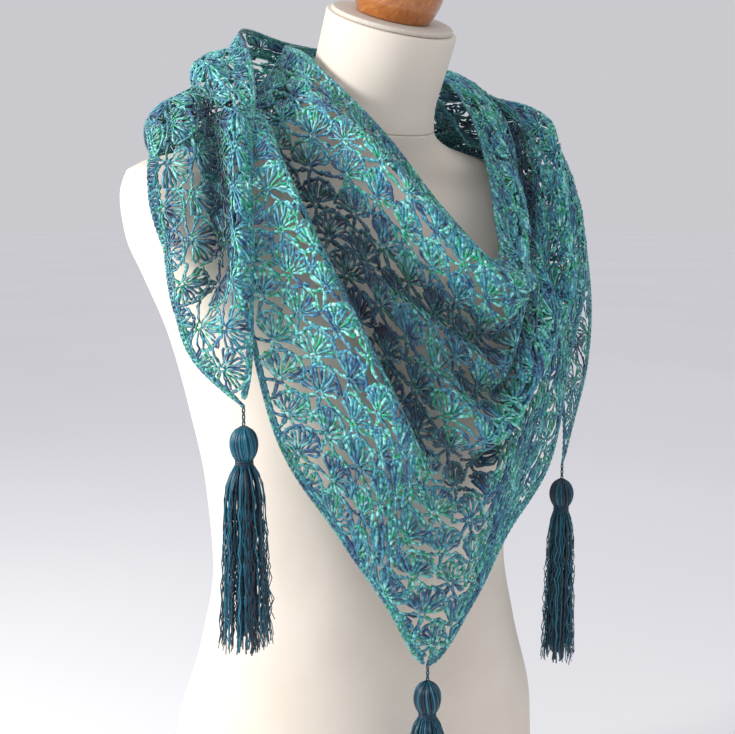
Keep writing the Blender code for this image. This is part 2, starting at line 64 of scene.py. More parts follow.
# The dress form. Its rings are level at the waist and lean forward towards the neck.
NECK_SEAM = 0.718  # height of the seam under the neck block, on the form's axis
NECK_TOP = 0.811
FORM_POINTS = 44  # points round a ring
LEAN_START, LEAN_AT_SEAM, LEAN_AT_TOP = 0.60, 0.27, 0.40  # how much a ring rises for each metre back
BUST_HEIGHT, BUST_SIDE, BUST_DEPTH, BUST_SPREAD = 0.510, 0.080, 0.030, 0.052

# One row for each ring: its height, half width, depth to the front and to the back,
# its squareness, where 2 is an ellipse, and how far back its middle lies
FORM_COLUMNS = ("height", "half_width", "front", "back", "square", "middle")
FORM_RINGS = (
    (0.000, 0.152, 0.106, 0.114, 2.2, 0.004),
    (0.012, 0.162, 0.115, 0.123, 2.2, 0.004),
    (0.100, 0.174, 0.125, 0.132, 2.2, 0.004),
    (0.190, 0.170, 0.123, 0.121, 2.2, 0.002),
    (0.270, 0.149, 0.112, 0.099, 2.2, 0.000),
    (0.340, 0.137, 0.105, 0.088, 2.2, 0.000),
    (0.410, 0.141, 0.106, 0.092, 2.2, 0.002),
    (0.480, 0.153, 0.108, 0.100, 2.3, 0.004),
    (0.540, 0.168, 0.104, 0.104, 2.4, 0.006),
    (0.590, 0.189, 0.092, 0.100, 2.5, 0.008),
    (0.622, 0.203, 0.080, 0.090, 2.6, 0.010),
    (0.650, 0.208, 0.068, 0.079, 2.6, 0.010),
    (0.668, 0.203, 0.058, 0.070, 2.5, 0.010),
    (0.684, 0.150, 0.055, 0.066, 2.3, 0.006),
    (0.700, 0.086, 0.054, 0.061, 2.1, 0.000),
    (0.718, 0.059, 0.053, 0.056, 2.0, -0.010),
    (0.745, 0.053, 0.052, 0.053, 2.0, -0.020),
    (0.780, 0.053, 0.052, 0.052, 2.0, -0.034),
    (0.811, 0.053, 0.052, 0.052, 2.0, -0.046),
)
TORSO_LEVELS = (
    0.000, 0.004, 0.012, 0.050, 0.100, 0.150, 0.200, 0.250, 0.300, 0.340, 0.380, 0.420, 0.455, 0.485,
    0.515, 0.545, 0.575, 0.600, 0.622, 0.640, 0.655, 0.664, 0.671, 0.677, 0.684, 0.692, 0.700, 0.709,
)
NECK_LEVELS = (0.724, 0.732, 0.745, 0.762, 0.780, 0.798)
CAP_RADIUS, CAP_THICKNESS, CAP_EDGE = 0.050, 0.004, 0.0012
KNOB_TURNS = 28
# The turned knob, from its crown down: distance from its axis, and height over the cap
KNOB_PROFILE = (
    (0.0000, 0.0600), (0.0125, 0.0585), (0.0238, 0.0535), (0.0322, 0.0450), (0.0362, 0.0335),
    (0.0368, 0.0220), (0.0352, 0.0120), (0.0322, 0.0045), (0.0300, 0.0000), (0.0000, 0.0000),
)

# The shawl as it lies flat: a triangle with its long edge at depth 0
HALF_SPAN = 0.920  # from the middle of the long edge to a wing's tip
DEPTH = 0.550  # from the long edge to the middle corner
WALL = 0.0020
CLEARANCE = 0.009  # the least that the cloth keeps to the form
NET = 40  # rows of the flat net, and columns of it in each wing
SEAM_SLIT = 0.00022  # half the gap between two stretches, along the long edge

# The shawl as it is worn: one row for each section across it. The first column is the place along the
# long edge, from the middle, where minus is the wing that starts over the right shoulder. Then come the
# places in space, as x, y and z, of the long edge, of two points a third and two thirds across, and of
# the lower edge.
SHAWL_SECTIONS = (
    (-0.920, 0.153, -0.096, 0.416, 0.154, -0.096, 0.417, 0.155, -0.095, 0.418, 0.157, -0.094, 0.419),
    (-0.900, 0.153, -0.097, 0.437, 0.159, -0.094, 0.440, 0.167, -0.090, 0.443, 0.174, -0.086, 0.447),
    (-0.860, 0.150, -0.096, 0.480, 0.165, -0.092, 0.488, 0.184, -0.084, 0.494, 0.203, -0.074, 0.500),
    (-0.810, 0.148, -0.090, 0.530, 0.165, -0.088, 0.545, 0.195, -0.072, 0.562, 0.228, -0.050, 0.572),
    (-0.760, 0.145, -0.080, 0.590, 0.165, -0.078, 0.610, 0.200, -0.060, 0.630, 0.233, -0.022, 0.635),
    (-0.710, 0.134, -0.050, 0.650, 0.160, -0.040, 0.668, 0.196, -0.015, 0.682, 0.214, 0.018, 0.672),
    (-0.640, 0.108, -0.012, 0.700, 0.138, 0.004, 0.698, 0.165, 0.034, 0.688, 0.175, 0.070, 0.650),
    (-0.570, 0.086, 0.012, 0.745, 0.108, 0.040, 0.728, 0.115, 0.080, 0.690, 0.100, 0.106, 0.625),
    (-0.500, 0.068, 0.040, 0.768, 0.070, 0.068, 0.740, 0.052, 0.095, 0.690, 0.020, 0.118, 0.605),
    (-0.430, 0.030, 0.060, 0.780, 0.018, 0.080, 0.740, -0.025, 0.098, 0.690, -0.070, 0.110, 0.610),
    (-0.360, -0.015, 0.060, 0.782, -0.045, 0.070, 0.738, -0.095, 0.080, 0.702, -0.132, 0.080, 0.656),
    (-0.300, -0.052, 0.035, 0.778, -0.090, 0.030, 0.735, -0.133, 0.020, 0.708, -0.163, 0.000, 0.684),
    (-0.240, -0.062, -0.015, 0.765, -0.105, -0.045, 0.710, -0.143, -0.070, 0.660, -0.163, -0.073, 0.602),
    (-0.180, -0.052, -0.058, 0.732, -0.090, -0.105, 0.655, -0.122, -0.125, 0.570, -0.142, -0.100, 0.475),
    (-0.120, -0.036, -0.095, 0.695, -0.066, -0.138, 0.605, -0.092, -0.152, 0.510, -0.108, -0.126, 0.405),
    (-0.060, -0.012, -0.128, 0.645, -0.028, -0.162, 0.552, -0.055, -0.168, 0.450, -0.078, -0.148, 0.350),
    (0.000, 0.026, -0.148, 0.603, 0.012, -0.172, 0.508, -0.018, -0.172, 0.405, -0.047, -0.162, 0.298),
    (0.060, 0.062, -0.104, 0.640, 0.048, -0.158, 0.548, 0.024, -0.168, 0.442, -0.004, -0.164, 0.340),
    (0.120, 0.086, -0.062, 0.688, 0.086, -0.128, 0.590, 0.072, -0.148, 0.488, 0.034, -0.158, 0.386),
    (0.180, 0.100, -0.022, 0.728, 0.110, -0.085, 0.643, 0.103, -0.129, 0.540, 0.094, -0.142, 0.434),
    (0.240, 0.104, 0.020, 0.760, 0.136, -0.057, 0.697, 0.134, -0.107, 0.603, 0.133, -0.122, 0.511),
    (0.300, 0.084, 0.061, 0.778, 0.144, -0.013, 0.742, 0.164, -0.080, 0.670, 0.168, -0.103, 0.589),
    (0.360, 0.040, 0.088, 0.784, 0.120, 0.050, 0.758, 0.172, -0.014, 0.728, 0.193, -0.046, 0.668),
    (0.430, -0.015, 0.095, 0.790, 0.063, 0.100, 0.753, 0.146, 0.081, 0.724, 0.216, 0.039, 0.701),
    (0.500, -0.062, 0.080, 0.796, -0.012, 0.110, 0.748, 0.055, 0.128, 0.690, 0.125, 0.122, 0.640),
    (0.570, -0.092, 0.042, 0.786, -0.078, 0.095, 0.748, -0.040, 0.130, 0.690, 0.020, 0.145, 0.620),
    (0.640, -0.106, 0.000, 0.764, -0.125, 0.055, 0.740, -0.120, 0.100, 0.700, -0.080, 0.135, 0.640),
    (0.710, -0.125, -0.042, 0.726, -0.142, 0.005, 0.738, -0.158, 0.043, 0.726, -0.157, 0.084, 0.690),
    (0.760, -0.145, -0.074, 0.680, -0.157, -0.045, 0.704, -0.176, -0.014, 0.716, -0.190, 0.013, 0.703),
    (0.810, -0.158, -0.096, 0.615, -0.169, -0.085, 0.624, -0.185, -0.060, 0.629, -0.197, -0.026, 0.627),
    (0.860, -0.162, -0.102, 0.558, -0.174, -0.093, 0.562, -0.188, -0.074, 0.566, -0.199, -0.050, 0.568),
    (0.900, -0.164, -0.100, 0.519, -0.171, -0.093, 0.521, -0.179, -0.082, 0.523, -0.187, -0.068, 0.525),
    (0.920, -0.166, -0.094, 0.498, -0.167, -0.093, 0.499, -0.168, -0.092, 0.501, -0.169, -0.091, 0.502),
)

# The folds: one row for each. A roll stands out as a soft ridge, or in as a trough where its height is
# minus. A step lifts the cloth on one side of its line, like the lip of a pleat. The line is given on the
# flat shawl, as places along the long edge and down from it.
FOLD_COLUMNS = ("kind", "height", "reach", "line")
FOLDS = (
    ("roll", 0.017, 0.046, ((-0.25, 0.060), (-0.15, 0.080), (-0.07, 0.075), (0.00, 0.050), (0.06, 0.025))),
    ("roll", -0.009, 0.032, ((-0.22, 0.150), (-0.14, 0.165), (-0.07, 0.150), (-0.01, 0.120), (0.04, 0.110))),
    ("step", 0.014, 0.055, ((-0.26, 0.130), (-0.22, 0.200), (-0.16, 0.250), (-0.10, 0.300), (-0.05, 0.345))),
    ("roll", -0.006, 0.030, ((0.16, 0.100), (0.11, 0.160), (0.05, 0.180), (-0.03, 0.200), (-0.08, 0.205))),
    ("roll", 0.009, 0.034, ((0.20, 0.190), (0.13, 0.230), (0.04, 0.230), (-0.03, 0.250), (-0.08, 0.265))),
    ("roll", -0.011, 0.040, ((0.24, 0.230), (0.14, 0.270), (0.07, 0.280), (0.00, 0.295), (-0.05, 0.345))),
    ("roll", -0.011, 0.044, ((0.33, 0.090), (0.26, 0.125), (0.21, 0.150), (0.17, 0.170), (0.13, 0.185))),
    ("roll", 0.007, 0.034, ((0.26, 0.035), (0.20, 0.045), (0.14, 0.060), (0.09, 0.080), (0.05, 0.095))),
    ("roll", 0.010, 0.036, ((0.36, 0.170), (0.30, 0.190), (0.25, 0.240), (0.23, 0.290), (0.20, 0.330))),
    ("roll", 0.010, 0.024, ((0.36, 0.040), (0.46, 0.045), (0.56, 0.045), (0.66, 0.040), (0.74, 0.030))),
    ("roll", -0.008, 0.022, ((0.40, 0.090), (0.48, 0.090), (0.56, 0.085), (0.64, 0.075), (0.72, 0.062))),
    ("roll", 0.009, 0.026, ((0.38, 0.150), (0.46, 0.140), (0.54, 0.135), (0.62, 0.120), (0.70, 0.095))),
    ("roll", -0.008, 0.022, ((0.38, 0.215), (0.44, 0.200), (0.50, 0.185), (0.56, 0.172), (0.62, 0.155))),
    ("roll", 0.006, 0.016, ((0.70, 0.012), (0.76, 0.014), (0.82, 0.012), (0.86, 0.010), (0.89, 0.006))),
    ("roll", -0.008, 0.016, ((0.70, 0.045), (0.75, 0.040), (0.79, 0.034), (0.83, 0.028), (0.87, 0.018))),
    ("roll", -0.006, 0.018, ((-0.66, 0.060), (-0.72, 0.052), (-0.77, 0.045), (-0.82, 0.033), (-0.86, 0.022))),
)
STEP_SOFTNESS = 0.007

# A tassel, with its sizes measured down from its own top
TASSEL_RINGS, TASSEL_SIDES = 3, 14
TASSEL_HOLE, TASSEL_SKIRT = 0.0015, 0.0075  # inner and outer radius of the strands at their roots
TASSEL_LONG = 0.138  # from the wrap down to the strands' ends
STRAND_INSET, STRAND_SWELL = 0.00028, 1.7
# Radius and height over the wrap's underside, from the stem down
TASSEL_PROFILE = (
    (0.0016, 0.0440), (0.0018, 0.0315), (0.0055, 0.0298), (0.0092, 0.0240), (0.0100, 0.0170),
    (0.0082, 0.0100), (0.0060, 0.0075), (0.0062, 0.0020), (0.0075, 0.0000),
)
# Each tassel's name, the top of its stem, and how far its ends spread
TASSELS = (
    ("tassel_front", (-0.047, -0.162, 0.2975), 0.019),
    ("tassel_right", (0.153, -0.096, 0.4157), 0.015),
    ("tassel_left", (-0.166, -0.094, 0.4977), 0.021),
)


def smooth_step(x):
    x = np.clip(x, 0.0, 1.0)
    return x * x * (3.0 - 2.0 * x)


def curve_through(xs, ys, x):
    """A smooth curve through a table's points that doesn't swing past them."""
    xs = np.asarray(xs, float)
    ys = np.asarray(ys, float)
    x = np.clip(np.asarray(x, float), xs[0], xs[-1])
    step = np.diff(xs)
    slope = np.diff(ys) / step
    tangent = np.zeros_like(ys)
    for i in range(1, len(xs) - 1):
        if slope[i - 1] * slope[i] > 0:
            before = 2 * step[i] + step[i - 1]
            after = step[i] + 2 * step[i - 1]
            tangent[i] = (before + after) / (before / slope[i - 1] + after / slope[i])
    tangent[0], tangent[-1] = slope[0], slope[-1]
    k = np.clip(np.searchsorted(xs, x, side="right") - 1, 0, len(xs) - 2)
    return hermite(ys[k], ys[k + 1], step[k] * tangent[k], step[k] * tangent[k + 1], (x - xs[k]) / step[k])


def hermite(start, end, start_pull, end_pull, t):
    return (
        (2 * t**3 - 3 * t**2 + 1) * start
        + (t**3 - 2 * t**2 + t) * start_pull
        + (3 * t**2 - 2 * t**3) * end
        + (t**3 - t**2) * end_pull
    )


def form_value(name, level):
    place = FORM_COLUMNS.index(name)
    heights = [row[0] for row in FORM_RINGS]
    return curve_through(heights, [row[place] for row in FORM_RINGS], level)


def lean(z):
    """How much a ring's plane rises for each metre back."""
    to_seam = smooth_step((z - LEAN_START) / (NECK_SEAM - LEAN_START)) * LEAN_AT_SEAM
    above = smooth_step((z - NECK_SEAM) / (NECK_TOP - NECK_SEAM)) * (LEAN_AT_TOP - LEAN_AT_SEAM)
    return to_seam + above


def bust(x, z):
    across = (np.abs(x) - BUST_SIDE) / BUST_SPREAD
    up = (z - BUST_HEIGHT) / BUST_SPREAD
    return BUST_DEPTH * np.exp(-(across**2) - up**2)


def form_ring(level, points=FORM_POINTS):
    """One ring of the form, from its left side round by the back."""
    angle = np.arange(points) * 2 * math.pi / points
    power = 2.0 / form_value("square", level)
    x = form_value("half_width", level) * np.sign(np.cos(angle)) * np.abs(np.cos(angle)) ** power
    reach = np.abs(np.sin(angle)) ** power
    front = form_value("front", level) + bust(x, level)
    y = form_value("middle", level) + reach * np.where(np.sin(angle) > 0, form_value("back", level), -front)
    return np.stack([x, y, level + lean(level) * y], axis=1)


def form_field(place):
    """Under zero inside the form and over zero outside it."""
    x, y, z = place[..., 0], place[..., 1], place[..., 2]
    level = np.clip(z - lean(z) * y, 0.0, NECK_TOP)
    back = y - form_value("middle", level)
    reach = np.where(back > 0, form_value("back", level), form_value("front", level) + bust(x, level))
    n = form_value("square", level)
    share = (np.abs(x) / form_value("half_width", level)) ** n + (np.abs(back) / reach) ** n
    return share ** (1 / n) - 1.0


def push_clear(place, clearance):
    """Moves points outwards until they clear the form."""
    nudge = 0.002
    for _ in range(4):
        slope = [form_field(place + nudge * axis) - form_field(place - nudge * axis) for axis in np.eye(3)]
        slope = np.stack(slope, axis=-1) / (2 * nudge)
        steep = np.maximum(np.linalg.norm(slope, axis=-1), 1e-6)
        short = np.maximum(clearance - form_field(place) / steep, 0.0)
        place = place + slope / steep[..., None] * short[..., None]
    return place


def plain_shawl(along, down):
    """The worn shawl without its folds, at places given on the flat shawl."""
    table = np.array(SHAWL_SECTIONS)
    rows = table[:, 0]
    places = table[:, 1:].reshape(len(rows), 4, 3)
    pulls = np.gradient(places, rows, axis=0)
    along = np.clip(along, rows[0], rows[-1])
    k = np.clip(np.searchsorted(rows, along, side="right") - 1, 0, len(rows) - 2)
    gap = (rows[k + 1] - rows[k])[..., None, None]
    t = (along - rows[k])[..., None, None] / gap
    edge, near, far, low = np.moveaxis(hermite(places[k], places[k + 1], gap * pulls[k], gap * pulls[k + 1], t), -2, 0)
    width = np.maximum(DEPTH * (1 - np.abs(along) / HALF_SPAN), 1e-6)
    u = 3 * np.clip(down / width, 0.0, 1.0)[..., None]
    return (
        edge * (u - 1) * (u - 2) * (u - 3) / -6
        + near * u * (u - 2) * (u - 3) / 2
        + far * u * (u - 1) * (u - 3) / -2
        + low * u * (u - 1) * (u - 2) / 6
    )


def fold_height(along, down):
    """How far all the folds together move the cloth outwards."""
    total = np.zeros(np.shape(along))
    for kind, height, reach, line in FOLDS:
        line = np.array(line)
        knots = np.arange(len(line))
        fine = np.linspace(0, len(line) - 1, 33)
        xs = curve_through(knots, line[:, 0], fine)
        ys = curve_through(knots, line[:, 1], fine)
        best = np.full(np.shape(along), 1e9)
        side = np.zeros(np.shape(along))
        part = np.zeros(np.shape(along))
        for i in range(len(fine) - 1):
            dx, dy = xs[i + 1] - xs[i], ys[i + 1] - ys[i]
            t = np.clip(((along - xs[i]) * dx + (down - ys[i]) * dy) / (dx * dx + dy * dy), 0, 1)
            away = np.hypot(along - xs[i] - t * dx, down - ys[i] - t * dy)
            closer = away < best
            best = np.where(closer, away, best)
            side = np.where(closer, np.sign(dx * (down - ys[i]) - dy * (along - xs[i])), side)
            part = np.where(closer, (i + t) / (len(fine) - 1), part)
        fade = smooth_step(part / 0.25) * smooth_step((1 - part) / 0.25)
        if kind == "roll":
            shape = np.cos(np.clip(best / reach, 0, 1) * math.pi / 2) ** 2
        else:
            shape = np.tanh(side * best / STEP_SOFTNESS) * np.exp(-((best / reach) ** 2))
        total = total + height * fade * shape
    return total * FOLD_GAIN


def shawl_place(along, down):
    """Where a place on the flat shawl lies when it is worn, and the cloth's outward direction there."""
    along = np.asarray(along, float)
    down = np.asarray(down, float)
    small = 0.004

    def outward(surface):
        """The direction across a surface, by its change along both ways."""
        width = np.maximum(DEPTH * (1 - np.abs(along) / HALF_SPAN), 1e-6)
        lower = np.clip(down - small, 0, None)
        upper = np.minimum(down + small, width)
        left, right = np.clip(along - small, -HALF_SPAN, HALF_SPAN), np.clip(along + small, -HALF_SPAN, HALF_SPAN)
        share = down / width
        fit = DEPTH * (1 - np.abs(left) / HALF_SPAN), DEPTH * (1 - np.abs(right) / HALF_SPAN)
        run = surface(right, share * fit[1]) - surface(left, share * fit[0])
        fall = surface(along, upper) - surface(along, lower)
        normal = np.cross(fall, run)
        return normal / np.maximum(np.linalg.norm(normal, axis=-1), 1e-9)[..., None]

    def folded(a, d):
        return push_clear(plain_shawl(a, d) + outward_plain * fold_height(a, d)[..., None], CLEARANCE)

    outward_plain = outward(plain_shawl)
    return folded(along, down), outward(folded)


def uneven(count, seed):
    """Numbers from -1 to 1 that look random and are always the same."""
    return np.random.default_rng(seed).uniform(-1.0, 1.0, count)


def unit(vectors):
    return vectors / np.maximum(np.linalg.norm(vectors, axis=-1), 1e-9)[..., None]


# --- meshes from arrays -------------------------------------------------------------------------------------


def quad_mesh(name, verts, quads):
    mesh = bpy.data.meshes.new(name)
    mesh.vertices.add(len(verts))
    mesh.vertices.foreach_set("co", np.ascontiguousarray(verts, dtype=np.float32).ravel())
    mesh.loops.add(4 * len(quads))
    mesh.loops.foreach_set("vertex_index", np.ascontiguousarray(quads, dtype=np.int32).ravel())
    mesh.polygons.add(len(quads))
    mesh.polygons.foreach_set("loop_start", np.arange(0, 4 * len(quads), 4, dtype=np.int32))
    mesh.update(calc_edges=True)
    mesh.validate()
    mesh.shade_smooth()
    return mesh


def tube_arrays(paths, normals, radii, sides):
    """Closed tubes along many paths of the same number of points, as vertices and four-sided faces."""
    count, steps, _ = paths.shape
    tangent = unit(np.gradient(paths, axis=1))
    upright = unit(normals - tangent * np.sum(normals * tangent, axis=-1)[..., None])
    sideways = np.cross(tangent, upright)
    angle = np.arange(sides) * 2 * math.pi / sides
    ring = (
        upright[:, :, None, :] * np.cos(angle)[None, None, :, None] * YARN_FLAT
        + sideways[:, :, None, :] * np.sin(angle)[None, None, :, None]
    )
    verts = paths[:, :, None, :] + ring * radii[..., None, None]
    index = np.arange(count * steps * sides).reshape(count, steps, sides)
    here, after = index[:, :-1], index[:, 1:]
    quads = np.stack([here, np.roll(here, -1, axis=2), np.roll(after, -1, axis=2), after], axis=-1).reshape(-1, 4)
    if sides == 4:
        quads = np.concatenate([quads, index[:, 0, ::-1], index[:, -1]])
    return verts.reshape(-1, 3), quads


class Yarn:
    """Collects strands for one mesh, with the place in the pattern of every point."""

    def __init__(self):
        self.verts, self.quads, self.pattern, self.total = [], [], [], 0

    def add(self, paths, normals, pattern, radius=YARN_RADIUS, sides=YARN_SIDES):
        radii = np.broadcast_to(radius, paths.shape[:2])
        verts, quads = tube_arrays(paths, normals, radii, sides)
        self.verts.append(verts)
        self.quads.append(quads + self.total)
        self.pattern.append(np.repeat(pattern.reshape(-1, 4), sides, axis=0))
        self.total += len(verts)

    def finish(self, name, finish):
        mesh = quad_mesh(name, np.concatenate(self.verts), np.concatenate(self.quads))
        pattern = np.concatenate(self.pattern)
        corner = np.empty(len(mesh.loops), dtype=np.int32)
        mesh.loops.foreach_get("vertex_index", corner)
        layer = mesh.uv_layers.new(name="pattern")
        layer.data.foreach_set("uv", np.ascontiguousarray(pattern[corner, :2], dtype=np.float32).ravel())
        # The colour attribute holds each strand's dye tint in red and its painted shade and light in green
        shade = mesh.color_attributes.new("strand", "FLOAT_COLOR", "POINT")
        value = np.ones((len(pattern), 4), dtype=np.float32)
        value[:, 0] = pattern[:, 2]
        value[:, 1] = pattern[:, 3]
        shade.data.foreach_set("color", value.ravel())
        mesh.materials.append(finish)
        made = bpy.data.objects.new(name, mesh)
        bpy.context.scene.collection.objects.link(made)
        return made


# --- the worn cloth, measured in true lengths ---------------------------------------------------------------


class Cloth:
    """The worn shawl sampled so that a place can be found by its true distance under the long edge."""

    def __init__(self):
        self.along = np.linspace(-HALF_SPAN, HALF_SPAN, GRID_ALONG)
        share = np.linspace(0, 1, GRID_ACROSS)
        along, share = np.meshgrid(self.along, share, indexing="ij")
        flat_down = share * DEPTH * (1 - np.abs(along) / HALF_SPAN)
        place, outward = shawl_place(along, flat_down)
        # The folds' heights, kept to paint shade into troughs and light onto ridges
        fold = fold_height(along, flat_down) / FOLD_GAIN
        outward[0], outward[-1] = outward[1], outward[-2]
        step = np.linalg.norm(np.diff(place, axis=1), axis=-1)
        down = np.concatenate([np.zeros((GRID_ALONG, 1)), np.cumsum(step, axis=1)], axis=1)
        self.length = down[:, -1]
        self.levels = np.arange(0, self.length.max() + 0.03, GRID_STEP)
        self.place = np.empty((GRID_ALONG, len(self.levels), 3))
        self.outward = np.empty_like(self.place)
        self.fold = np.empty((GRID_ALONG, len(self.levels)))
        for i in range(GRID_ALONG):
            last = place[i, -1] - place[i, -4]
            past = np.maximum(self.levels - self.length[i], 0)[:, None] * unit(last)
            for axis in range(3):
                self.place[i, :, axis] = np.interp(self.levels, down[i], place[i, :, axis])
                self.outward[i, :, axis] = np.interp(self.levels, down[i], outward[i, :, axis])
            self.place[i] += past
            self.fold[i] = np.interp(self.levels, down[i], fold[i])
        self.outward = unit(self.outward)

    def low_edge(self, along):
        return np.interp(along, self.along, self.length)

    def row_lengths(self, level):
        """True distance along a row at one level, from the shawl's middle."""
        level = np.minimum(level, np.maximum(self.length - LOW_BORDER, 0.0))
        spots = self.lookup(self.along, level)[0]
        run = np.concatenate([[0.0], np.cumsum(np.linalg.norm(np.diff(spots, axis=0), axis=-1))])
        return run - run[GRID_ALONG // 2]

    def light(self, along, level, lift):
        """Painted shade and light for a strand: painted shade down in a trough or under the other strands, painted
        light on a ridge or on a lifted strand.
        """
        x = (np.clip(along, -HALF_SPAN, HALF_SPAN) + HALF_SPAN) / (2 * HALF_SPAN) * (GRID_ALONG - 1)
        i = np.minimum((x + 0.5).astype(int), GRID_ALONG - 1)
        j = np.clip((level / GRID_STEP + 0.5).astype(int), 0, len(self.levels) - 1)
        return 0.5 + np.clip(self.fold[i, j] / 0.012, -0.42, 0.3) + np.clip(lift / 0.0015, -1, 1) * 0.30

    def lookup(self, along, level):
        x = (np.clip(along, -HALF_SPAN, HALF_SPAN) + HALF_SPAN) / (2 * HALF_SPAN) * (GRID_ALONG - 1)
        y = np.clip(level / GRID_STEP, 0, len(self.levels) - 1.001)
        i = np.minimum(x.astype(int), GRID_ALONG - 2)
        j = y.astype(int)
        fx, fy = (x - i)[..., None], (y - j)[..., None]
        both = []
        for table in (self.place, self.outward):
            both.append(
                table[i, j] * (1 - fx) * (1 - fy) + table[i + 1, j] * fx * (1 - fy)
                + table[i, j + 1] * (1 - fx) * fy + table[i + 1, j + 1] * fx * fy
            )
        return both[0], unit(both[1])

    def spot(self, along, level, lift, low_edge=True):
        if low_edge:
            level = np.minimum(level, self.low_edge(along) - LOW_BORDER * 0.6)
        level = np.maximum(level, 0.0)
        place, outward = self.lookup(along, level)
        return place + outward * lift[..., None], outward


# --- the stitches -------------------------------------------------------------------------------------------


def bar(start, end, sway=(0.2, 0.9, 0.2, -0.8, 0.9), rise=0.6):
    """Two strands that cross like the legs of a tall stitch: rows of across, up, lift and thickness."""
    start, end = np.array(start, float), np.array(end, float)
    way = end - start
    side = np.array([-way[1], way[0]]) / np.linalg.norm(way)
    pair = []
    for hand in (1, -1):
        flat = start + np.outer((0.0, 0.25, 0.5, 0.75, 1.0), way) + np.outer(np.array(sway) * hand, side)
        lift = np.array([0.0, rise, 0.0, -rise, rise]) * hand
        pair.append(np.column_stack([flat, lift, np.full(5, 1.1)]))
    return pair


def fan_strands():
    """One fan of the lace, in millimetres, with its base at the row's lower side and its rim upwards.

    Each strand is five rows of across, up, lift and thickness.
    """
    strands = []
    posts, spread, inner, outer = 7, 70.0, 2.0, 16.2
    angles = np.radians(np.linspace(-spread, spread, posts))
    part = np.linspace(0.0, 1.0, 5)
    for i, angle in enumerate(angles):
        reach = inner + (outer * (1 - 0.10 * (angle / angles[-1]) ** 2) - inner) * part
        for hand in (1, -1):
            # The two legs of a stitch start together and spread to fill the fan
            turn = angle + hand * (angles[1] - angles[0]) * np.array([0.05, 0.10, 0.23, 0.27, 0.12])
            lift = np.array([0.2, 0.75, 0.6, 0.5, 0.2]) if hand > 0 else np.array([-0.3, -0.5, -0.7, -0.6, 0.4])
            if i % 2:
                lift = lift * (1.0, 1.3, 0.7, -0.4, 1.0)
            thick = (0.60, 0.80, 1.05, 1.25, 1.15)
            strands.append(np.column_stack([np.sin(turn) * reach, np.cos(turn) * reach, lift, thick]))
    # The rim's loops join the posts' tops
    for k in range(4):
        turn = np.linspace(angles[0], angles[-1], 17)[4 * k:4 * k + 5]
        for hand in (1, -1):
            reach = (outer + 0.6 - 1.4 * (turn / angles[-1]) ** 2) + hand * np.array([0.9, -0.1, -0.9, 0.1, 0.9])
            flat = np.column_stack([np.sin(turn) * reach, np.cos(turn) * reach + 0.6])
            lift = hand * 0.6 * np.cos(np.arange(5) * math.pi / 2) + 0.3
            strands.append(np.column_stack([flat, lift, np.full(5, 1.05)]))
    # The small ring that the posts grow from
    for low, high in ((-100, 100), (100, 260)):
        turn = np.radians(np.linspace(low, high, 5))
        flat = np.column_stack([np.sin(turn) * 2.1, np.cos(turn) * 2.1 - 0.1])
        strands.append(np.column_stack([flat, np.full(5, 0.6), np.full(5, 0.9)]))
    # The chains down to the tops of the two fans below, and the long stitch between those fans
    half = FAN_REPEAT * 500 / FAN_SCALE
    for side in (1, -1):
        for hand in (1, -1):
            t = np.linspace(0, 1, 5)
            x = side * (1.8 + (half - 1.8) * t)
            y = -1.0 - 3.4 * np.sin(t * math.pi / 2) + hand * np.array([0.1, 0.75, -0.5, 0.75, 0.1])
            lift = hand * np.array([0.3, 0.6, -0.4, 0.5, 0.2])
            strands.append(np.column_stack([x, y, lift, np.full(5, 1.0)]))
    strands += bar((0.0, -1.6), (0.0, -13.4))
    return np.array(strands)


def lay_rows(cloth, pieces):
    """Every row's fans, spread evenly along the row, and given to the piece that their base lies in."""
    template = fan_strands()
    thick = template[..., 3] * YARN_RADIUS
    template = template[..., :3] * FAN_SCALE / 1000.0
    count, steps, _ = template.shape
    rows = int(cloth.length.max() / ROW_PITCH) + 1
    for row in range(rows):
        base = FIRST_ROW + ROW_PITCH * row
        lengths = cloth.row_lengths(base - ROW_PITCH * 0.45)
        reach = np.where(cloth.length > base - 0.011)[0]
        if len(reach) < 2:
            continue
        first, last = lengths[reach[0]], lengths[reach[-1]]
        places = np.arange(-60, 61) * FAN_REPEAT + (row % 2) * FAN_REPEAT / 2
        places = places[(places > first) & (places < last)]
        seed = 100 + row
        jitter = uneven((len(places), count, steps, 3), seed) * np.array([0.0010, 0.0010, 0.0003])
        turn = uneven(len(places), seed + 50) * 0.28
        size = 1.01 + 0.10 * uneven(len(places), seed + 90)
        x, y = template[None, :, :, 0], template[None, :, :, 1]
        c, s = np.cos(turn)[:, None, None], np.sin(turn)[:, None, None]
        across = (x * c - y * s) * size[:, None, None] + jitter[..., 0]
        up = (x * s + y * c) * size[:, None, None] + jitter[..., 1]
        lift = template[None, :, :, 2] + jitter[..., 2]
        arc = places[:, None, None] + across
        along = np.interp(arc, lengths, cloth.along)
        level = base - up
        spot, outward = cloth.spot(along, level, lift)
        centre = np.interp(places, lengths, cloth.along)
        tint = uneven((len(places), count), seed + 7)[..., None] * 0.5 + 0.5
        # Painted shade and light for each point, from the folds and the strand's lift, carried in the pattern's last
        # column
        light = cloth.light(along, level, lift)
        pattern = np.stack([arc, level + 0 * arc, np.broadcast_to(tint, arc.shape), light], axis=-1)
        # Strands that the lower edge has pressed flat are left out
        long_enough = np.linalg.norm(np.diff(spot, axis=2), axis=-1).sum(axis=-1) > 0.003
        radius = np.broadcast_to(thick, arc.shape)
        for name, _, low, high, heavy in LACE_PIECES:
            chosen = long_enough & ((centre >= low) & (centre < high))[:, None]
            if chosen.any():
                pieces[name].add(spot[chosen], outward[chosen], pattern[chosen], radius[chosen] * heavy)


